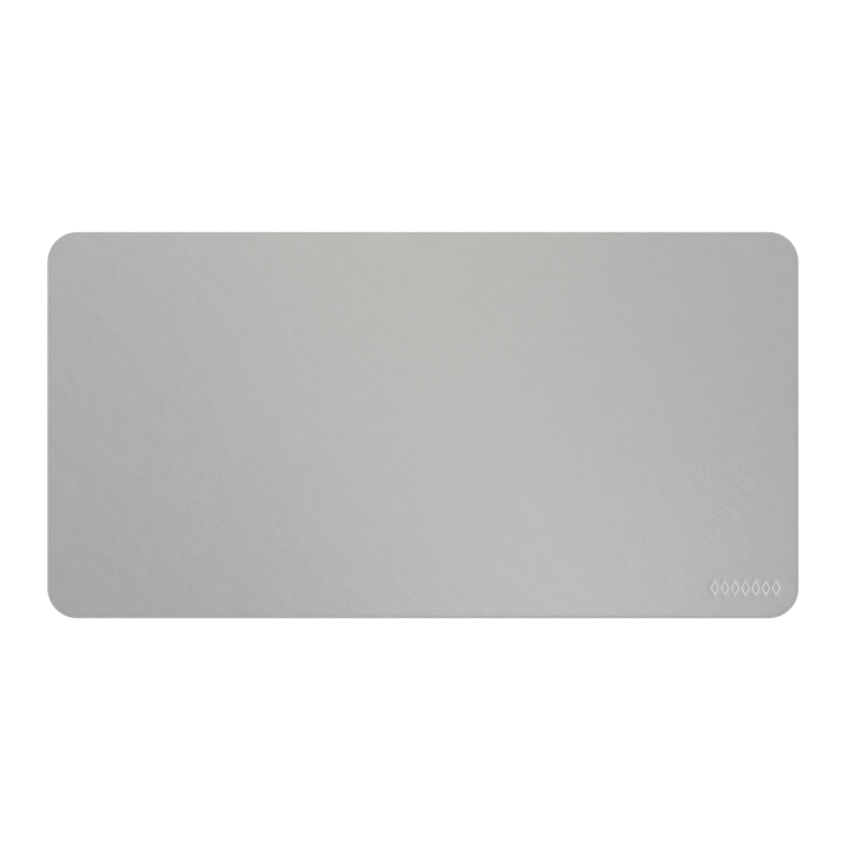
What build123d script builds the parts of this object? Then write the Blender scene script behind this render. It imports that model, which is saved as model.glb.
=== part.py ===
from build123d import *
import os

# A one-piece desk mat, laminated from sheets and lying flat on a desk. Millimetres.
# The origin is at the middle of the underside: +X runs along the mat's length,
# +Y away from the person at the desk, and +Z up from the desk.

# Driving dimensions
mat_length = 889.0  # 35 in
mat_depth = 457.2  # 18 in
corner_radius = 35.5  # of the outermost edge, seen from above

suede_thickness = 0.70
glue_thickness = 0.08
core_thickness = 0.90
cloth_thickness = 0.50
skin_thickness = 0.34

# Edge paint: a bead that covers the cut edges of all the sheets
paint_bulge = 0.60  # from the cut edge to the bead's crest
paint_clearance = 0.15  # from the desk to the bead's lower end

# Rolled shoulder and pressed line of the upper face, inside the edge paint
shoulder_width = 1.30
shoulder_drop = 0.20
crease_inset = 2.10  # from the outermost edge to the pressed line
crease_width = 0.80
crease_depth = 0.12

# Pressed ornament: a row of hollow lozenges with rounded tips
lozenge_count = 7
lozenge_pitch = 12.1
lozenge_width = 10.6
lozenge_height = 21.0
stroke_width = 1.7
tip_radius = 0.6
ornament_depth = 0.18
ornament_centre_from_right = 63.4
ornament_centre_from_front = 35.7

# Heights of the sheets' undersides
lower_glue_bottom = suede_thickness
core_bottom = lower_glue_bottom + glue_thickness
upper_glue_bottom = core_bottom + core_thickness
cloth_bottom = upper_glue_bottom + glue_thickness
skin_bottom = cloth_bottom + cloth_thickness
mat_top = skin_bottom + skin_thickness

# The cut edge of the sheets lies inside the outermost edge by the bead's bulge
cut_length = mat_length - 2 * paint_bulge
cut_depth = mat_depth - 2 * paint_bulge
cut_radius = corner_radius - paint_bulge
paint_height = mat_top - shoulder_drop - paint_clearance

# The ornament's middle, and the scale that leaves each lozenge its stroke all round
ornament_x = mat_length / 2 - ornament_centre_from_right
ornament_y = ornament_centre_from_front - mat_depth / 2
lozenge_side = (lozenge_width**2 + lozenge_height**2) ** 0.5 / 2
centre_to_side = lozenge_width * lozenge_height / 4 / lozenge_side
inner_scale = 1 - stroke_width / centre_to_side


def inset_outline(inset, mode=Mode.ADD):
    """The mat's rounded rectangle, drawn this far inside its outermost edge."""
    length = mat_length - 2 * inset
    depth = mat_depth - 2 * inset
    return RectangleRounded(length, depth, corner_radius - inset, mode=mode)


def lozenge(scale):
    """A rhombus with rounded tips, its long diagonal along Y."""
    half_width = scale * lozenge_width / 2
    half_height = scale * lozenge_height / 2
    with BuildSketch(mode=Mode.PRIVATE) as shape:
        Polygon((half_width, 0), (0, half_height), (-half_width, 0), (0, -half_height), align=None)
        fillet(shape.vertices(), radius=tip_radius)
    return shape.sketch


def write(piece, label):
    """Names a finished piece and writes its STEP file."""
    piece.part.label = label
    export_step(piece.part, f"parts/{label}.step")


os.makedirs("parts", exist_ok=True)

# The plain sheets: two glue films, the core between them and the skin's backing cloth
plain_sheets = {
    "lower_glue_film": (lower_glue_bottom, glue_thickness),
    "core_sheet": (core_bottom, core_thickness),
    "upper_glue_film": (upper_glue_bottom, glue_thickness),
    "backing_cloth": (cloth_bottom, cloth_thickness),
}
for label, (bottom, thickness) in plain_sheets.items():
    with BuildPart() as plain_sheet:
        with BuildSketch(Plane.XY.offset(bottom)):
            inset_outline(paint_bulge)
        extrude(amount=thickness)
    write(plain_sheet, label)

# Non-slip suede sheet that lies on the desk. Its lower edge is eased up to the bead.
with BuildPart() as base_suede:
    with BuildSketch(Plane.XY):
        inset_outline(paint_bulge)
    extrude(amount=suede_thickness)
    chamfer(base_suede.faces().sort_by(Axis.Z)[0].edges(), length=paint_clearance)
write(base_suede, "base_suede")

# Coated skin that is the working surface, with its shoulder, pressed line and ornament
with BuildPart() as face_skin:
    with BuildSketch(Plane.XY.offset(skin_bottom)):
        inset_outline(paint_bulge)
    extrude(amount=skin_thickness)
    top_face = face_skin.faces().sort_by(Axis.Z)[-1]
    chamfer(top_face.edges(), length=shoulder_width, length2=shoulder_drop, reference=top_face)

    with BuildSketch(Plane.XY.offset(mat_top)):
        inset_outline(crease_inset)
        inset_outline(crease_inset + crease_width, mode=Mode.SUBTRACT)
    extrude(amount=-crease_depth, mode=Mode.SUBTRACT)

    with BuildSketch(Plane((ornament_x, ornament_y, mat_top))):
        with GridLocations(lozenge_pitch, 0, lozenge_count, 1):
            add(lozenge(1))
            add(lozenge(inner_scale), mode=Mode.SUBTRACT)
    extrude(amount=-ornament_depth, mode=Mode.SUBTRACT)
write(face_skin, "face_skin")

# Bead of edge paint, flat against the cut edges and round outside, swept once round the mat
corner_x = cut_length / 2
corner_y = cut_depth / 2
with BuildLine(Plane.XY.offset(paint_clearance)) as cut_edge:
    FilletPolyline(
        (-corner_x, -corner_y),
        (corner_x, -corner_y),
        (corner_x, corner_y),
        (-corner_x, corner_y),
        radius=cut_radius,
        close=True,
    )
bead_path = cut_edge.wire()
along = bead_path % 0
outward = along.cross(Vector(0, 0, 1))

with BuildPart() as edge_paint:
    with BuildSketch(Plane(origin=bead_path @ 0, x_dir=outward, z_dir=-along)):
        with BuildLine():
            Line((0, 0), (0, paint_height))
            ThreePointArc((0, paint_height), (paint_bulge, paint_height / 2), (0, 0))
        make_face()
    sweep(path=bead_path)
write(edge_paint, "edge_paint")
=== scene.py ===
"""Desk mat: a laminated sheet with a grey coated face, a painted edge and a suede underside.

Run as a script, it builds the mat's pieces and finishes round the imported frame, then the stage.
Sizes are in metres. +X runs along the mat, +Y away from the person at the desk, +Z up.
"""

import math

import bmesh
import bpy
from bpy.props import FloatProperty, FloatVectorProperty, IntProperty, PointerProperty
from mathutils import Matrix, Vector


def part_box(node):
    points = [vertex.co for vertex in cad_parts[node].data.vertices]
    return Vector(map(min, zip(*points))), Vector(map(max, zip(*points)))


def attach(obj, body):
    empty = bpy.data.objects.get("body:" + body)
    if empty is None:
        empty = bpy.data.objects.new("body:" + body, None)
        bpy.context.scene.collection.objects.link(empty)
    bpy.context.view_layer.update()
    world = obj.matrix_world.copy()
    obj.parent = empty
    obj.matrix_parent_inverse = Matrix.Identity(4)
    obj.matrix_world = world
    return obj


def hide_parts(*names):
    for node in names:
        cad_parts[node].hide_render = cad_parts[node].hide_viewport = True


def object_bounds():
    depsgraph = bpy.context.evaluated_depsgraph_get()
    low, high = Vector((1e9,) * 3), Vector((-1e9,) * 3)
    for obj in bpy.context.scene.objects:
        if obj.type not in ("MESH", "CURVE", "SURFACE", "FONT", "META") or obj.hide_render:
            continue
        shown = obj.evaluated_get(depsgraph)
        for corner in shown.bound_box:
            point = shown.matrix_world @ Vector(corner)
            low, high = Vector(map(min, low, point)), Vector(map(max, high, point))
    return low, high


bl_info = {
    "name": "Desk Mat",
    "version": (1, 0, 0),
    "blender": (4, 5, 0),
    "location": "View3D > Sidebar > Desk Mat",
    "description": "Builds a laminated desk mat with a pressed, painted and brushed finish",
    "category": "Object",
}

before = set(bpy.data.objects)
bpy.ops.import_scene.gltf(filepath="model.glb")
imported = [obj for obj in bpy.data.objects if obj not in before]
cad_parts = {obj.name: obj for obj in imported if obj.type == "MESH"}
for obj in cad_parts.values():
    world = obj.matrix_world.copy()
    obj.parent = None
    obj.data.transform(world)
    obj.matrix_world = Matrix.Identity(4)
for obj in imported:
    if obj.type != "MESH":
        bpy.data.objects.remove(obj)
cad_low, cad_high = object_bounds()

BODY = "root"
MM = 0.001

# From the frame: the outermost edge, the cut edge of the sheets and the heights of the layers
MAT_LENGTH = cad_high.x - cad_low.x
MAT_DEPTH = cad_high.y - cad_low.y
SKIN_LOW, SKIN_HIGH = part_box("face_skin")
SUEDE_LOW, SUEDE_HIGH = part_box("base_suede")
PAINT_LOW, PAINT_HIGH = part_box("edge_paint")
CUT_LENGTH = SKIN_HIGH.x - SKIN_LOW.x
BEAD_WIDTH = (MAT_LENGTH - CUT_LENGTH) / 2

# How finely curves are drawn and sheets are cut
CORNER_SEGMENTS = 24
TIP_SEGMENTS = 4
ROLL_STEPS = 5
CREASE_STEPS = 8
WALL_STEPS = 4
FACE_CELL = 5 * MM
BEAD_CELL = 8 * MM
SUEDE_CELL = 32 * MM
SMOOTH_ANGLE = math.radians(35)
MERGE_DISTANCE = 0.001 * MM
LEVEL_SLACK = 0.01 * MM  # points this close in height or place count as level or inside

# Unevenness: the skin's runs aslant, and is drawn out along its length
SLANT = math.radians(-52)
FACE_WAVE = 20 * MM
FACE_WAVE_STRETCH = 2.2
BEAD_WAVE = 18 * MM

# Round the ornament: room for it in the face, and how far out the face is still calm
ORNAMENT_MARGIN = 2 * MM
CALM_ROUND_ORNAMENT = 12 * MM
CALM_WITHIN_RIM = 10 * MM
TIP_CUT = 1.2 * MM  # how much of each side a lozenge's rounded tip takes

# The face skin's second material, and the values that its points hold for both of them
PRESSED_SLOT = 1
# How deep a point lies in the pressed line; the skin's tone is darkened there as painted shade
CREASE_SHADE_ATTRIBUTE = "pressed"
# How far out on the rolled shoulder a point lies; the skin's tone is lightened there as a painted
# highlight
SHOULDER_HIGHLIGHT_ATTRIBUTE = "rolled"

# The stage
FLOOR_SIDE = 60.0
SENSOR_WIDTH = 36.0


# ---------------------------------------------------------------- settings in the sidebar


class MatSizes(bpy.types.PropertyGroup):
    """Sizes of the mat's shaped details."""

    corner_radius: FloatProperty(
        name="Corner radius",
        description="Radius of the outermost edge at each corner, seen from above",
        default=35.5 * MM,
        unit="LENGTH",
    )
    shoulder_width: FloatProperty(
        name="Shoulder width",
        description="How far in from its cut edge the face rolls down",
        default=1.3 * MM,
        unit="LENGTH",
    )
    shoulder_drop: FloatProperty(
        name="Shoulder drop",
        description="How far the face rolls down at its cut edge",
        default=0.2 * MM,
        unit="LENGTH",
    )
    crease_inset: FloatProperty(
        name="Pressed line inset",
        description="From the outermost edge to the pressed line",
        default=2.1 * MM,
        unit="LENGTH",
    )
    crease_width: FloatProperty(
        name="Pressed line width",
        description="Width of the pressed line",
        default=0.8 * MM,
        unit="LENGTH",
    )
    crease_depth: FloatProperty(
        name="Pressed line depth",
        description="Depth of the pressed line",
        default=0.12 * MM,
        unit="LENGTH",
    )
    lozenge_count: IntProperty(
        name="Lozenges",
        description="How many lozenges the ornament has",
        default=7,
        min=1,
    )
    lozenge_pitch: FloatProperty(
        name="Lozenge pitch",
        description="From one lozenge's middle to the next",
        default=12.1 * MM,
        unit="LENGTH",
    )
    lozenge_width: FloatProperty(
        name="Lozenge width",
        description="Short diagonal of a lozenge, outside its stroke",
        default=10.6 * MM,
        unit="LENGTH",
    )
    lozenge_height: FloatProperty(
        name="Lozenge height",
        description="Long diagonal of a lozenge, outside its stroke",
        default=21 * MM,
        unit="LENGTH",
    )
    stroke_width: FloatProperty(
        name="Stroke width",
        description="Width of the pressed stroke",
        default=1.7 * MM,
        unit="LENGTH",
    )
    stroke_depth: FloatProperty(
        name="Stroke depth",
        description="Depth of the pressed stroke",
        default=0.18 * MM,
        unit="LENGTH",
    )
    ornament_from_right: FloatProperty(
        name="Ornament from the right",
        description="From the outermost edge on the right to the ornament's middle",
        default=63.4 * MM,
        unit="LENGTH",
    )
    ornament_from_front: FloatProperty(
        name="Ornament from the front",
        description="From the outermost edge at the front to the ornament's middle",
        default=35.7 * MM,
        unit="LENGTH",
    )
    waviness: FloatProperty(
        name="Waviness",
        description="Height of the soft unevenness of the face",
        default=0.1 * MM,
        unit="LENGTH",
    )
    bead_waviness: FloatProperty(
        name="Bead waviness",
        description="Height of the unevenness that the edge paint dries with",
        default=0.06 * MM,
        unit="LENGTH",
    )


class MatColours(bpy.types.PropertyGroup):
    """Colours of the mat's finishes."""

    face: FloatVectorProperty(
        name="Face",
        description="Coated skin",
        default=(0.420, 0.417, 0.413),
        subtype="COLOR",
    )
    pressed: FloatVectorProperty(
        name="Ornament",
        description="Skin polished by the hot die",
        default=(0.620, 0.609, 0.610),
        subtype="COLOR",
    )
    edge: FloatVectorProperty(
        name="Edge paint",
        description="Paint over the cut edges",
        default=(0.405, 0.402, 0.398),
        subtype="COLOR",
    )
    suede: FloatVectorProperty(
        name="Suede",
        description="Brushed sheet under the mat",
        default=(0.215, 0.212, 0.208),
        subtype="COLOR",
    )
    cloth: FloatVectorProperty(
        name="Backing cloth",
        description="Woven cloth behind the skin",
        default=(0.62, 0.61, 0.58),
        subtype="COLOR",
    )
    core: FloatVectorProperty(
        name="Core",
        description="Filler sheet",
        default=(0.12, 0.12, 0.125),
        subtype="COLOR",
    )
    glue: FloatVectorProperty(
        name="Glue",
        description="Hot-melt film",
        default=(0.72, 0.69, 0.58),
        subtype="COLOR",
    )


class StageSettings(bpy.types.PropertyGroup):
    """The floor, the light and the camera."""

    floor: FloatVectorProperty(
        name="Floor",
        description="Colour of the floor",
        default=(0.22, 0.22, 0.22),
        subtype="COLOR",
    )
    floor_glow: FloatProperty(
        name="Floor glow",
        description="Strength of the light that comes through the floor",
        default=0.84,
        min=0,
    )
    backdrop: FloatProperty(
        name="Backdrop",
        description="How bright the space behind the floor looks",
        default=0.86,
        min=0,
    )
    surround: FloatProperty(
        name="Surround",
        description="Strength of the even light from all round",
        default=0.102,
        min=0,
    )
    lens: FloatProperty(
        name="Lens",
        description="Focal length of the camera, in millimetres",
        default=85,
        min=20,
    )
    view_width: FloatProperty(
        name="View width",
        description="Width of what the camera sees at the mat's face",
        default=1005.3 * MM,
        unit="LENGTH",
    )
    camera_offset: FloatProperty(
        name="Camera offset",
        description="How far the camera stands to the right of the mat's middle",
        default=2.4 * MM,
        unit="LENGTH",
    )


# ---------------------------------------------------------------- shader maths


class Wire:
    """A socket that arithmetic can be written with. Each operator adds a Math node."""

    def __init__(self, tree, socket):
        self.tree = tree
        self.socket = socket

    def math(self, operation, *values):
        sockets = dict(enumerate(values))
        return self.tree.node("ShaderNodeMath", {"operation": operation}, sockets)

    def __add__(self, other):
        return self.math("ADD", self, other)

    __radd__ = __add__

    def __sub__(self, other):
        return self.math("SUBTRACT", self, other)

    def __rsub__(self, other):
        return self.math("SUBTRACT", other, self)

    def __mul__(self, other):
        return self.math("MULTIPLY", self, other)

    __rmul__ = __mul__


class Tree:
    """A node tree under construction, emptied first."""

    def __init__(self, owner):
        owner.use_nodes = True
        self.nodes = owner.node_tree.nodes
        self.links = owner.node_tree.links
        self.nodes.clear()

    def node(self, kind, settings, sockets, output=0):
        """Adds a node, sets it, then gives its sockets values or links. Returns one output."""
        made = self.nodes.new(kind)
        for name, value in settings.items():
            setattr(made, name, value)
        for key, value in sockets.items():
            self.feed(made.inputs[key], value)
        return Wire(self, made.outputs[output]) if made.outputs else None

    def feed(self, socket, value):
        if isinstance(value, Wire):
            self.links.new(value.socket, socket)
        else:
            socket.default_value = value


class Finish(Tree):
    """A material under construction, on one Principled shader."""

    def __init__(self, name):
        self.material = bpy.data.materials.new(name)
        super().__init__(self.material)
        shader = self.node("ShaderNodeBsdfPrincipled", {}, {})
        self.shader = shader.socket.node
        self.node("ShaderNodeOutputMaterial", {}, {"Surface": shader})
        self.place = self.node("ShaderNodeTexCoord", {}, {}, "Object")

    def surface(self, **sockets):
        """Feeds the shader's own sockets, named with underscores for spaces."""
        for name, value in sockets.items():
            self.feed(self.shader.inputs[name.replace("_", " ")], value)
        return self.material

    def attribute(self, name):
        """A value that the mesh holds at each of its points."""
        return self.node("ShaderNodeAttribute", {"attribute_name": name}, {}, "Fac")

    def turned(self, angle, stretch):
        """The place on the piece, turned about the vertical and stretched for a pattern."""
        sockets = {"Vector": self.place, "Rotation": (0, 0, angle), "Scale": stretch}
        return self.node("ShaderNodeMapping", {"vector_type": "TEXTURE"}, sockets)

    def noise(self, size, detail=2.0, roughness=0.5, place=None, distortion=0.0):
        """Soft noise from 0 to 1 whose largest features are about this size."""
        sockets = {
            "Vector": place or self.place,
            "Scale": 1 / size,
            "Detail": detail,
            "Roughness": roughness,
            "Distortion": distortion,
        }
        return self.node("ShaderNodeTexNoise", {}, sockets)

    def cells(self, size, place=None):
        """How far the nearest border between cells of this size is, in cell widths."""
        settings = {"feature": "DISTANCE_TO_EDGE"}
        sockets = {"Vector": place or self.place, "Scale": 1 / size}
        return self.node("ShaderNodeTexVoronoi", settings, sockets)

    def vector(self, operation, sockets):
        """A Vector Math node, for places and colours."""
        return self.node("ShaderNodeVectorMath", {"operation": operation}, sockets)

    def warped(self, size, reach):
        """The place on the piece, pushed about by noise, so that a pattern isn't straight."""
        sockets = {"Vector": self.place, "Scale": 1 / size, "Detail": 2.0}
        push = self.node("ShaderNodeTexNoise", {}, sockets, "Color")
        centred = self.vector("SUBTRACT", {0: push, 1: (0.5, 0.5, 0.5)})
        scaled = self.vector("SCALE", {0: centred, "Scale": reach})
        return self.vector("ADD", {0: self.place, 1: scaled})

    def smooth(self, value, low, high):
        """Maps low..high to 0..1 with a soft start and end."""
        settings = {"interpolation_type": "SMOOTHSTEP"}
        return self.node("ShaderNodeMapRange", settings, {0: value, 1: low, 2: high})

    def shade(self, colour, factor):
        """The colour times a value, in each channel."""
        return self.vector("SCALE", {0: tuple(colour), "Scale": factor})

    def relief(self, height):
        """A normal from a height in millimetres."""
        sockets = {"Height": height, "Distance": MM, "Strength": 1.0}
        return self.node("ShaderNodeBump", {}, sockets, "Normal")


def skin_finish(name, colour, roughness, grain_height):
    """Coated skin: pebbled grain with finer pores, and a soft unevenness that runs aslant.

    The relief is in millimetres, the tone and the gloss are shares."""
    finish = Finish(name)
    uneven = finish.warped(size=2.4 * MM, reach=1.1 * MM)
    pebbles = finish.smooth(finish.cells(1.5 * MM, uneven), 0.0, 0.32)
    pores = finish.noise(0.35 * MM)
    folds = finish.noise(6 * MM, roughness=0.55)
    aslant = finish.turned(SLANT, stretch=(1.5, 1.0, 1.0))
    drift = finish.noise(16 * MM, place=aslant, distortion=0.6)
    pressed = finish.attribute(CREASE_SHADE_ATTRIBUTE)
    rolled = finish.attribute(SHOULDER_HIGHLIGHT_ATTRIBUTE)

    grain = 0.025 * pebbles + 0.07 * folds + 0.07 * drift
    # Painted highlight: the tone is lighter on the rolled shoulder, where light catches the rounded
    # edge
    # Painted shade: the tone is darker in the pressed line, the deeper the point lies in it
    tone = 0.91 + grain - 0.24 * pressed + 0.34 * rolled
    gloss = (roughness + 0.04) - 0.05 * pebbles + 0.06 * drift + 0.22 * pressed + 0.35 * rolled
    height = grain_height * (pebbles + 0.3 * pores + 5.4 * folds) + 0.29 * drift
    return finish.surface(
        Base_Color=finish.shade(colour, tone),
        Roughness=gloss,
        Normal=finish.relief(height),
        Specular_IOR_Level=0.66,
    )


def edge_paint_finish(colour):
    """Cured edge paint: satin, with a slight orange peel and drag marks from the roller."""
    finish = Finish("edge_paint_satin")
    peel = finish.noise(0.9 * MM)
    drag = finish.noise(14 * MM, detail=3.0, roughness=0.6)
    return finish.surface(
        Base_Color=finish.shade(colour, 0.96 + 0.06 * drag + 0.02 * peel),
        Roughness=0.46 + 0.12 * drag,
        Specular_IOR_Level=0.36,
        Normal=finish.relief(0.012 * peel + 0.03 * drag),
    )


def suede_finish(colour):
    """Brushed microfibre: short lying nap, and patches where it was stroked the other way."""
    finish = Finish("suede_brushed")
    along = finish.turned(math.radians(8), stretch=(2.2, 1.0, 1.0))
    nap = finish.noise(0.7 * MM, detail=3.0, roughness=0.65, place=along)
    tufts = finish.noise(2.6 * MM, detail=3.0, roughness=0.6, place=along)
    strokes = finish.noise(70 * MM, detail=4.0, roughness=0.6, place=along, distortion=1.0)
    tone = 0.60 + 0.34 * nap + 0.26 * tufts + 0.10 * finish.smooth(strokes, 0.42, 0.58)
    return finish.surface(
        Base_Color=finish.shade(colour, tone),
        Roughness=0.86 + 0.1 * nap,
        Normal=finish.relief(0.16 * nap + 0.10 * tufts),
        Sheen_Weight=0.35,
        Sheen_Roughness=0.4,
        Specular_IOR_Level=0.25,
    )


def cloth_finish(colour):
    """Plain weave: warp and weft threads that pass over and under each other."""
    finish = Finish("backing_cloth_weave")
    thread = {"wave_type": "BANDS", "wave_profile": "SIN"}
    thread_width = 0.98 * MM
    radians_per_unit = 20  # of a wave texture whose scale is 1
    scale = 2 * math.pi / radians_per_unit / thread_width
    sockets = {"Vector": finish.place, "Scale": scale, "Distortion": 0.6, "Detail": 1.0}
    warp = finish.node("ShaderNodeTexWave", {**thread, "bands_direction": "X"}, sockets)
    weft = finish.node("ShaderNodeTexWave", {**thread, "bands_direction": "Y"}, sockets)
    fuzz = finish.noise(0.5 * MM, detail=3.0)
    weave = warp * weft + (1 - warp) * (1 - weft)
    return finish.surface(
        Base_Color=finish.shade(colour, 0.74 + 0.22 * weave + 0.12 * fuzz),
        Roughness=0.85 + 0.1 * fuzz,
        Normal=finish.relief(0.08 * weave + 0.04 * fuzz),
    )


def core_finish(colour):
    """Closed-cell filler sheet, with the skinned-over cells of its surface."""
    finish = Finish("core_foam")
    cells = finish.smooth(finish.cells(0.8 * MM), 0.0, 0.3)
    cloud = finish.noise(12 * MM, detail=3.0)
    return finish.surface(
        Base_Color=finish.shade(colour, 0.75 + 0.25 * cells + 0.2 * cloud),
        Roughness=0.72 + 0.12 * cloud,
        Normal=finish.relief(0.05 * cells),
    )


def glue_finish(colour):
    """Hot-melt film, cloudy where it has wetted the sheets."""
    finish = Finish("glue_film_cloudy")
    cloud = finish.noise(9 * MM, detail=4.0, roughness=0.65, distortion=0.5)
    web = finish.noise(1.2 * MM)
    return finish.surface(
        Base_Color=finish.shade(colour, 0.8 + 0.25 * cloud + 0.08 * web),
        Roughness=0.3 + 0.3 * cloud,
        Normal=finish.relief(0.02 * web + 0.03 * cloud),
    )


def floor_finish(colour, glow):
    """A plain pale floor, lit from below as well, so that it stays white under soft light."""
    finish = Finish("floor_plain")
    cloud = finish.noise(400 * MM)
    return finish.surface(
        Base_Color=finish.shade(colour, 0.995 + 0.01 * cloud),
        Roughness=0.9,
        Specular_IOR_Level=0.1,
        Emission_Color=(1, 1, 1, 1),
        Emission_Strength=glow,
    )


# ---------------------------------------------------------------- modelling by hand


def mesh_in_hand():
    """The mesh that is open in edit mode."""
    return bmesh.from_edit_mesh(bpy.context.edit_object.data)


def pick(mode, wanted):
    """Selects just the edges or faces, as mode says, that wanted says yes to."""
    bpy.ops.mesh.select_mode(type=mode)
    bpy.ops.mesh.select_all(action="DESELECT")
    mesh = mesh_in_hand()
    for item in mesh.faces if mode == "FACE" else mesh.edges:
        if wanted(item):
            item.select_set(True)
    mesh.select_flush_mode()
    bmesh.update_edit_mesh(bpy.context.edit_object.data)


def start_plate(name, inset, height):
    """A flat face with the mat's rounded outline, this far inside the outermost edge.

    It is left open in edit mode with the face selected."""
    radius = bpy.context.scene.mat_sizes.corner_radius - inset
    bpy.ops.object.select_all(action="DESELECT")
    bpy.ops.mesh.primitive_plane_add(size=1)
    bpy.context.object.name = name
    bpy.ops.object.mode_set(mode="EDIT")
    bpy.ops.mesh.select_all(action="SELECT")
    bpy.ops.transform.resize(value=(MAT_LENGTH - 2 * inset, MAT_DEPTH - 2 * inset, 1))
    bpy.ops.transform.translate(value=(0, 0, height))
    bpy.ops.mesh.bevel(offset=radius, segments=CORNER_SEGMENTS, profile=0.5, affect="VERTICES")
    bpy.ops.mesh.select_all(action="SELECT")


def inset_along(profile):
    """Insets the selected face once for each step of a profile of (inwards, upwards) points."""
    for (inwards, upwards), (next_in, next_up) in zip(profile, profile[1:]):
        bpy.ops.mesh.inset(thickness=next_in - inwards, depth=next_up - upwards)


def score(cell):
    """Cuts all of the mesh along a square grid, so that its faces are small and even."""
    for axis, side in ((Vector((1, 0, 0)), MAT_LENGTH), (Vector((0, 1, 0)), MAT_DEPTH)):
        outermost = math.ceil(side / 2 / cell) - 1
        for step in range(-outermost, outermost + 1):
            bpy.ops.mesh.select_all(action="SELECT")
            bpy.ops.mesh.bisect(plane_co=axis * step * cell, plane_no=axis)


def face_outwards():
    """Merges doubles, turns all faces outwards and leaves edit mode."""
    bpy.ops.mesh.select_all(action="SELECT")
    bpy.ops.mesh.remove_doubles(threshold=MERGE_DISTANCE)
    bpy.ops.mesh.normals_make_consistent(inside=False)
    bpy.ops.object.mode_set(mode="OBJECT")


def ruffle(piece, height, size, weights, direction, turn=0.0, stretch=1.0):
    """Displaces the piece's surface by soft noise, as strongly as its weights say."""
    group = piece.vertex_groups.new(name="loose")
    for index, weight in enumerate(weights):
        if weight > 0:
            group.add([index], weight, "REPLACE")
    clouds = bpy.data.textures.new("clouds", "CLOUDS")
    clouds.noise_scale = size
    clouds.noise_depth = 2
    bpy.ops.object.empty_add(rotation=(0, 0, turn))
    guide = bpy.context.object
    guide.scale = (stretch, 1, 1)
    bpy.context.view_layer.objects.active = piece
    displace = piece.modifiers.new("Displace", "DISPLACE")
    displace.texture = clouds
    displace.texture_coords = "OBJECT"
    displace.texture_coords_object = guide
    displace.vertex_group = group.name
    displace.direction = direction
    displace.strength = height
    bpy.ops.object.modifier_apply(modifier=displace.name)
    bpy.data.objects.remove(guide)
    bpy.data.textures.remove(clouds)
    piece.vertex_groups.clear()


def finish_piece(piece, node, slot, *materials):
    """Shades a finished piece, gives it its materials and puts it in its CAD node's place."""
    bpy.ops.object.select_all(action="DESELECT")
    piece.select_set(True)
    bpy.context.view_layer.objects.active = piece
    bpy.ops.object.transform_apply(location=True, rotation=True, scale=True)
    bpy.ops.object.shade_smooth_by_angle(angle=SMOOTH_ANGLE)
    for material in materials:
        piece.data.materials.append(material)
    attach(piece, BODY)
    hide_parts(node)


def smoothstep(value, low, high):
    """From 0 at low to 1 at high, with a soft start and end."""
    share = min(max((value - low) / (high - low), 0), 1)
    return share * share * (3 - 2 * share)


# ---------------------------------------------------------------- face skin


def shoulder_profile(sizes):
    """From the cut edge over the rolled shoulder, across the pressed line and onto the field."""
    points = []
    for step in range(ROLL_STEPS + 1):
        turn = math.pi / 2 * step / ROLL_STEPS
        inwards = sizes.shoulder_width * (1 - math.cos(turn))
        points.append((inwards, sizes.shoulder_drop * math.sin(turn)))
    crease_start = sizes.crease_inset - BEAD_WIDTH
    for step in range(CREASE_STEPS + 1):
        share = step / CREASE_STEPS
        depth = sizes.crease_depth * (1 - math.cos(2 * math.pi * share)) / 2
        points.append((crease_start + sizes.crease_width * share, sizes.shoulder_drop - depth))
    return points


def ornament_middle(sizes):
    """The middle of the row of lozenges, seen from above."""
    return (
        cad_high.x - sizes.ornament_from_right,
        cad_low.y + sizes.ornament_from_front,
    )


def ornament_window(sizes):
    """The grid cells that the ornament needs: lowest x and y, highest x and y."""
    middle_x, middle_y = ornament_middle(sizes)
    row_length = (sizes.lozenge_count - 1) * sizes.lozenge_pitch + sizes.lozenge_width
    half_x = row_length / 2 + ORNAMENT_MARGIN
    half_y = sizes.lozenge_height / 2 + ORNAMENT_MARGIN
    return (
        math.floor((middle_x - half_x) / FACE_CELL) * FACE_CELL,
        math.floor((middle_y - half_y) / FACE_CELL) * FACE_CELL,
        math.ceil((middle_x + half_x) / FACE_CELL) * FACE_CELL,
        math.ceil((middle_y + half_y) / FACE_CELL) * FACE_CELL,
    )


def inside(window, point):
    """Whether a point lies in a window or on its border, seen from above."""
    low_x, low_y, high_x, high_y = window
    across = low_x - LEVEL_SLACK < point.x < high_x + LEVEL_SLACK
    return across and low_y - LEVEL_SLACK < point.y < high_y + LEVEL_SLACK


def lozenge_rings(sizes):
    """How large and how deep each ring of a lozenge is: down a wall, over the stroke, up a wall."""
    side = math.hypot(sizes.lozenge_width, sizes.lozenge_height) / 2
    centre_to_side = sizes.lozenge_width * sizes.lozenge_height / 4 / side
    wall = sizes.stroke_width / 4
    rings = []
    for step in range(WALL_STEPS + 1):
        share = step / WALL_STEPS
        depth = sizes.stroke_depth * (1 - math.cos(math.pi * share)) / 2
        rings.append((wall * share, depth))
    rings += [(sizes.stroke_width - across, depth) for across, depth in reversed(rings)]
    return [(1 - across / centre_to_side, depth) for across, depth in rings]


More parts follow.
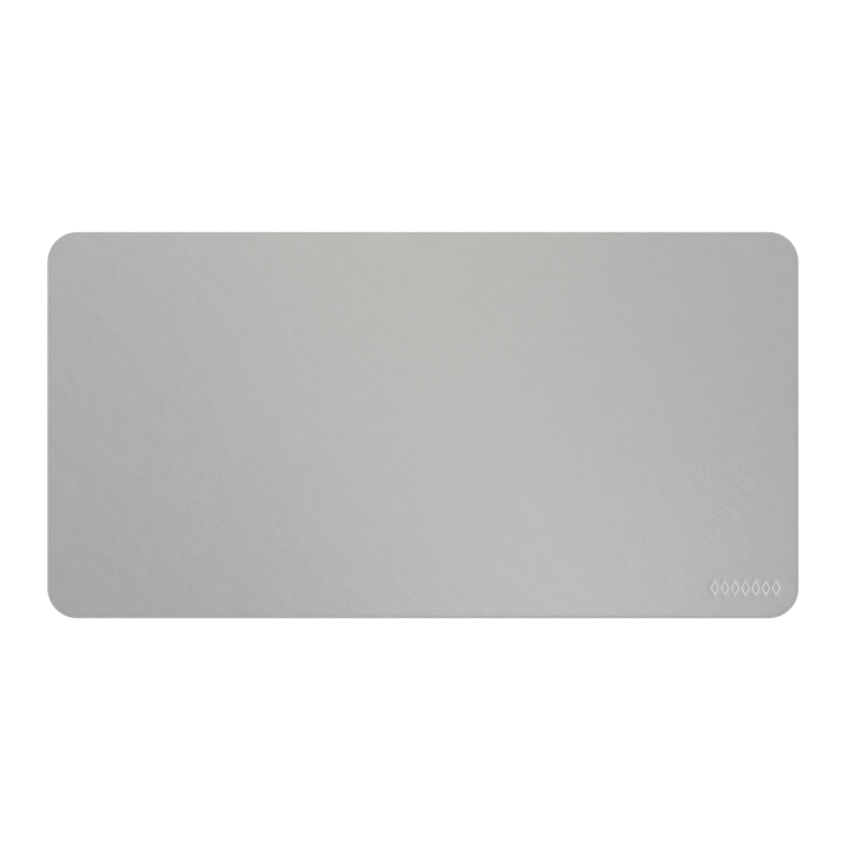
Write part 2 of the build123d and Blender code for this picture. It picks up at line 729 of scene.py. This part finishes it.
def press_lozenges(sizes, height):
    """Makes the lozenges, each a pressed ring round a small island, as one object."""
    middle_x, middle_y = ornament_middle(sizes)
    first_x = middle_x - (sizes.lozenge_count - 1) / 2 * sizes.lozenge_pitch
    bpy.ops.object.select_all(action="DESELECT")
    bpy.ops.mesh.primitive_circle_add(vertices=4, radius=1, fill_type="NGON")
    bpy.ops.object.mode_set(mode="EDIT")
    bpy.ops.mesh.select_all(action="SELECT")
    bpy.ops.transform.resize(value=(sizes.lozenge_width / 2, sizes.lozenge_height / 2, 1))
    bpy.ops.transform.translate(value=(first_x, middle_y, height))
    bpy.ops.mesh.bevel(offset=TIP_CUT, segments=TIP_SEGMENTS, profile=0.5, affect="VERTICES")
    bpy.ops.mesh.select_all(action="SELECT")
    bpy.ops.mesh.delete(type="ONLY_FACE")
    bpy.ops.mesh.select_mode(type="EDGE")
    bpy.ops.mesh.select_all(action="SELECT")
    rings = lozenge_rings(sizes)
    for (scale, depth), (next_scale, next_depth) in zip(rings, rings[1:]):
        bpy.ops.mesh.extrude_region_move()
        grow = next_scale / scale
        centre = (first_x, middle_y, height - depth)
        bpy.ops.transform.resize(value=(grow, grow, 1), center_override=centre)
        bpy.ops.transform.translate(value=(0, 0, depth - next_depth))
    bpy.ops.mesh.edge_face_add()
    bpy.ops.mesh.select_all(action="SELECT")
    step = {"value": (sizes.lozenge_pitch, 0, 0)}
    for _ in range(sizes.lozenge_count - 1):
        bpy.ops.mesh.duplicate_move(TRANSFORM_OT_translate=step)
    bpy.ops.object.mode_set(mode="OBJECT")
    return bpy.context.object


def open_window(window):
    """Removes the face's cells where the ornament goes, and leaves edit mode."""
    pick("FACE", lambda face: all(inside(window, vert.co) for vert in face.verts))
    bpy.ops.mesh.delete(type="FACE")
    bpy.ops.object.mode_set(mode="OBJECT")


def set_lozenges(skin, lozenges, window):
    """Joins the lozenges to the skin, and fills the flat field round them."""
    bpy.ops.object.select_all(action="DESELECT")
    lozenges.select_set(True)
    skin.select_set(True)
    bpy.context.view_layer.objects.active = skin
    bpy.ops.object.join()
    bpy.ops.object.mode_set(mode="EDIT")
    pick("EDGE", lambda edge: edge.is_boundary and all(inside(window, v.co) for v in edge.verts))
    bpy.ops.mesh.fill(use_beauty=True)


def close_underside(low):
    """Draws the sheet's outer edge down to its underside, and closes it there."""
    bpy.ops.mesh.select_mode(type="EDGE")
    pick("EDGE", lambda edge: edge.is_boundary)
    bpy.ops.mesh.extrude_region_move()
    rim = next(v for v in mesh_in_hand().verts if v.select)
    bpy.ops.transform.translate(value=(0, 0, low - rim.co.z))
    bpy.ops.mesh.edge_face_add()


def from_cut_edge(point):
    """How far a point lies inside the cut edge of the sheets, seen from above."""
    radius = bpy.context.scene.mat_sizes.corner_radius - BEAD_WIDTH
    past_x = abs(point.x) - (SKIN_HIGH.x - radius)
    past_y = abs(point.y) - (SKIN_HIGH.y - radius)
    if past_x > 0 and past_y > 0:
        return radius - math.hypot(past_x, past_y)
    return radius - max(past_x, past_y)


def mark_skin(skin, sizes):
    """Stores where the face is rolled and pressed, and gives the ornament's strokes their slot."""
    window = ornament_window(sizes)
    field_level = SKIN_HIGH.z
    roll_end = 0.9 * sizes.shoulder_width
    stroke_level = field_level - 0.02 * MM
    pressed = skin.data.attributes.new(CREASE_SHADE_ATTRIBUTE, "FLOAT", "POINT")
    rolled = skin.data.attributes.new(SHOULDER_HIGHLIGHT_ATTRIBUTE, "FLOAT", "POINT")
    for vert in skin.data.vertices:
        inwards = from_cut_edge(vert.co)
        # Share of the rolled shoulder: the finish lightens the skin there with a painted highlight
        rolled.data[vert.index].value = 1 - smoothstep(inwards, roll_end / 2, roll_end)
        # Depth in the pressed line: the finish darkens the skin there with painted shade
        if inwards > sizes.shoulder_width and not inside(window, vert.co):
            depth = max(field_level - vert.co.z, 0)
            pressed.data[vert.index].value = min(depth / sizes.crease_depth, 1)
    for face in skin.data.polygons:
        lowest = min(skin.data.vertices[v].co.z for v in face.vertices)
        if lowest < stroke_level and face.normal.z > 0.5 and inside(window, face.center):
            face.material_index = PRESSED_SLOT


def field_weights(skin, sizes):
    """How free each point of the skin is to be uneven: not at its rim, nor round the ornament."""
    low_x, low_y, high_x, high_y = ornament_window(sizes)
    quiet = sizes.crease_inset + sizes.crease_width
    weights = []
    for vert in skin.data.vertices:
        x, y, z = vert.co
        past_x = max(low_x - x, x - high_x, 0)
        past_y = max(low_y - y, y - high_y, 0)
        free = smoothstep(from_cut_edge(vert.co), quiet, quiet + CALM_WITHIN_RIM)
        free *= smoothstep(math.hypot(past_x, past_y), 0, CALM_ROUND_ORNAMENT)
        weights.append(free if z > SKIN_HIGH.z - LEVEL_SLACK else 0)
    return weights


class DESKMAT_OT_face_skin(bpy.types.Operator):
    """Makes the coated skin: rolled shoulder, pressed line, ornament and grain"""

    bl_idname = "deskmat.face_skin"
    bl_label = "Face Skin"

    def execute(self, context):
        sizes = context.scene.mat_sizes
        colours = context.scene.mat_colours
        window = ornament_window(sizes)
        start_plate("coated_face", BEAD_WIDTH, SKIN_HIGH.z - sizes.shoulder_drop)
        skin = context.object
        inset_along(shoulder_profile(sizes))
        score(FACE_CELL)
        open_window(window)
        lozenges = press_lozenges(sizes, SKIN_HIGH.z)
        set_lozenges(skin, lozenges, window)
        close_underside(SKIN_LOW.z)
        face_outwards()
        mark_skin(skin, sizes)
        weights = field_weights(skin, sizes)
        ruffle(skin, sizes.waviness, FACE_WAVE, weights, "Z", SLANT, FACE_WAVE_STRETCH)
        finish_piece(
            skin,
            "face_skin",
            "pu_face",
            skin_finish("skin_grained", colours.face, roughness=0.31, grain_height=0.030),
            skin_finish("skin_pressed", colours.pressed, roughness=0.26, grain_height=0.006),
        )
        return {"FINISHED"}


# ---------------------------------------------------------------- edge paint


def bead_profile(half_height):
    """From the bead's crest to its upper end: a quarter of an ellipse."""
    points = []
    for step in range(ROLL_STEPS + 1):
        turn = math.pi / 2 * step / ROLL_STEPS
        points.append((BEAD_WIDTH * (1 - math.cos(turn)), half_height * math.sin(turn)))
    return points


class DESKMAT_OT_edge_paint(bpy.types.Operator):
    """Makes the bead of paint round the cut edges"""

    bl_idname = "deskmat.edge_paint"
    bl_label = "Edge Paint"

    def execute(self, context):
        sizes = context.scene.mat_sizes
        middle = (PAINT_LOW.z + PAINT_HIGH.z) / 2
        half_height = (PAINT_HIGH.z - PAINT_LOW.z) / 2
        start_plate("painted_edge", 0, middle)
        bead = context.object
        inset_along(bead_profile(half_height))
        bpy.ops.mesh.delete(type="ONLY_FACE")
        bpy.ops.mesh.select_mode(type="FACE")
        bpy.ops.mesh.select_all(action="SELECT")
        bpy.ops.mesh.duplicate()
        bpy.ops.transform.resize(value=(1, 1, -1), center_override=(0, 0, middle))
        bpy.ops.mesh.select_all(action="SELECT")
        bpy.ops.mesh.remove_doubles(threshold=MERGE_DISTANCE)
        pick("EDGE", lambda edge: edge.is_boundary)
        bpy.ops.mesh.bridge_edge_loops()
        score(BEAD_CELL)
        face_outwards()
        free = [smoothstep(abs(v.co.z - middle), half_height, 0) for v in bead.data.vertices]
        ruffle(bead, sizes.bead_waviness, BEAD_WAVE, free, "NORMAL")
        finish_piece(
            bead,
            "edge_paint",
            "edge_paint",
            edge_paint_finish(context.scene.mat_colours.edge),
        )
        return {"FINISHED"}


# ---------------------------------------------------------------- suede base


class DESKMAT_OT_base_suede(bpy.types.Operator):
    """Makes the brushed sheet under the mat"""

    bl_idname = "deskmat.base_suede"
    bl_label = "Suede Base"

    def execute(self, context):
        ease = PAINT_LOW.z - SUEDE_LOW.z
        start_plate("suede_underside", BEAD_WIDTH, SUEDE_HIGH.z)
        suede = context.object
        down = {"value": (0, 0, PAINT_LOW.z - SUEDE_HIGH.z)}
        bpy.ops.mesh.extrude_region_move(TRANSFORM_OT_translate=down)
        bpy.ops.mesh.inset(thickness=ease)
        bpy.ops.transform.translate(value=(0, 0, -ease))
        score(SUEDE_CELL)
        face_outwards()
        finish_piece(
            suede,
            "base_suede",
            "suede",
            suede_finish(context.scene.mat_colours.suede),
        )
        return {"FINISHED"}


# ---------------------------------------------------------------- layers inside


class DESKMAT_OT_inner_layers(bpy.types.Operator):
    """Gives the sheets inside the mat their finishes"""

    bl_idname = "deskmat.inner_layers"
    bl_label = "Inner Layers"

    def execute(self, context):
        colours = context.scene.mat_colours
        glue = glue_finish(colours.glue)
        finishes = {
            "backing_cloth": cloth_finish(colours.cloth),
            "upper_glue_film": glue,
            "core_sheet": core_finish(colours.core),
            "lower_glue_film": glue,
        }
        for node, material in finishes.items():
            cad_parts[node].material_slots[0].material = material
        return {"FINISHED"}


# ---------------------------------------------------------------- stage

# Soft boxes: name, place, what it points at, width and length, turn, watts and colour
SOFT_BOXES = (
    ("strip_box", (0.05, -0.02, 2.3), (0.25, 1.12, 0), (0.61, 1.26), 0.487, 11.8, (0.975, 1, 0.884)),
    ("back_box", (-0.34, 1.88, 2.42), (-0.07, 0.38, 0), (0.8, 0.8), 0, 54.8, (0.995, 1, 0.922)),
    ("front_box", (0.37, -0.53, 1.6), (0, 0, 0), (0.6, 0.6), 0, 5.9, (0.9, 0.84, 0.97)),
    ("right_box", (1.9, 0, 0.55), (0.42, 0, 0), (0.5, 0.5), 0, 5.2, (0.98, 0.92, 1)),
    ("left_box", (-1.6, 0, 1.3), (-0.3, 0, 0), (0.5, 0.5), 0, 5.9, (0.86, 0.78, 1)),
)


def add_soft_box(name, place, target, size, turn, watts, colour):
    """An area light that points at its target and isn't seen itself."""
    bpy.ops.object.light_add(type="AREA", location=place)
    lamp = bpy.context.object
    lamp.name = name
    lamp.data.shape = "RECTANGLE"
    lamp.data.size, lamp.data.size_y = size
    lamp.data.energy = watts
    lamp.data.color = colour
    lamp.visible_camera = False
    aim = (Vector(target) - Vector(place)).to_track_quat("-Z", "Y")
    lamp.rotation_euler = aim.to_euler()
    lamp.rotation_euler.rotate_axis("Z", turn)


def surround_world(surround, backdrop):
    """Even light from all round, with a backdrop that only the camera sees."""
    world = bpy.data.worlds.new("surround")
    tree = Tree(world)
    cool = (0.88, 0.875, 1, 1)
    white = (1, 1, 1, 1)
    light = tree.node("ShaderNodeBackground", {}, {"Color": cool, "Strength": surround})
    seen = tree.node("ShaderNodeBackground", {}, {"Color": white, "Strength": backdrop})
    to_camera = tree.node("ShaderNodeLightPath", {}, {}, "Is Camera Ray")
    both = tree.node("ShaderNodeMixShader", {}, {0: to_camera, 1: light, 2: seen})
    tree.node("ShaderNodeOutputWorld", {}, {"Surface": both})
    return world


class DESKMAT_OT_stage(bpy.types.Operator):
    """Makes the floor, the soft light and the camera"""

    bl_idname = "deskmat.stage"
    bl_label = "Stage"

    def execute(self, context):
        settings = context.scene.stage_settings
        bpy.ops.object.select_all(action="DESELECT")
        bpy.ops.mesh.primitive_plane_add(size=FLOOR_SIDE)
        floor = context.object
        floor.name = "floor"
        floor.data.materials.append(floor_finish(settings.floor, settings.floor_glow))

        for box in SOFT_BOXES:
            add_soft_box(*box)

        context.scene.world = surround_world(settings.surround, settings.backdrop)

        distance = settings.view_width * settings.lens / SENSOR_WIDTH
        place = (settings.camera_offset, 0, cad_high.z + distance)
        bpy.ops.object.camera_add(location=place, rotation=(0, 0, 0))
        camera = context.object
        camera.name = "camera"
        camera.data.sensor_width = SENSOR_WIDTH
        camera.data.lens = settings.lens
        context.scene.camera = camera
        context.scene.view_settings.view_transform = "Standard"
        return {"FINISHED"}


# ---------------------------------------------------------------- panel and registration

OPERATORS = (
    DESKMAT_OT_base_suede,
    DESKMAT_OT_inner_layers,
    DESKMAT_OT_face_skin,
    DESKMAT_OT_edge_paint,
    DESKMAT_OT_stage,
)
SETTINGS = {
    "mat_sizes": MatSizes,
    "mat_colours": MatColours,
    "stage_settings": StageSettings,
}


class DESKMAT_PT_sidebar(bpy.types.Panel):
    """The mat's settings and the operators that build it"""

    bl_idname = "DESKMAT_PT_sidebar"
    bl_label = "Desk Mat"
    bl_space_type = "VIEW_3D"
    bl_region_type = "UI"
    bl_category = "Desk Mat"

    def draw(self, context):
        for operator in OPERATORS:
            self.layout.operator(operator.bl_idname)
        for name, group in SETTINGS.items():
            box = self.layout.box()
            for key in group.__annotations__:
                box.prop(getattr(context.scene, name), key)


def register():
    for name, group in SETTINGS.items():
        bpy.utils.register_class(group)
        setattr(bpy.types.Scene, name, PointerProperty(type=group))
    for cls in (*OPERATORS, DESKMAT_PT_sidebar):
        bpy.utils.register_class(cls)


def unregister():
    for cls in (DESKMAT_PT_sidebar, *reversed(OPERATORS)):
        bpy.utils.unregister_class(cls)
    for name, group in SETTINGS.items():
        delattr(bpy.types.Scene, name)
        bpy.utils.unregister_class(group)


def main():
    register()
    bpy.ops.deskmat.base_suede()
    bpy.ops.deskmat.inner_layers()
    bpy.ops.deskmat.face_skin()
    bpy.ops.deskmat.edge_paint()
    bpy.ops.deskmat.stage()


if __name__ == "__main__":
    main()
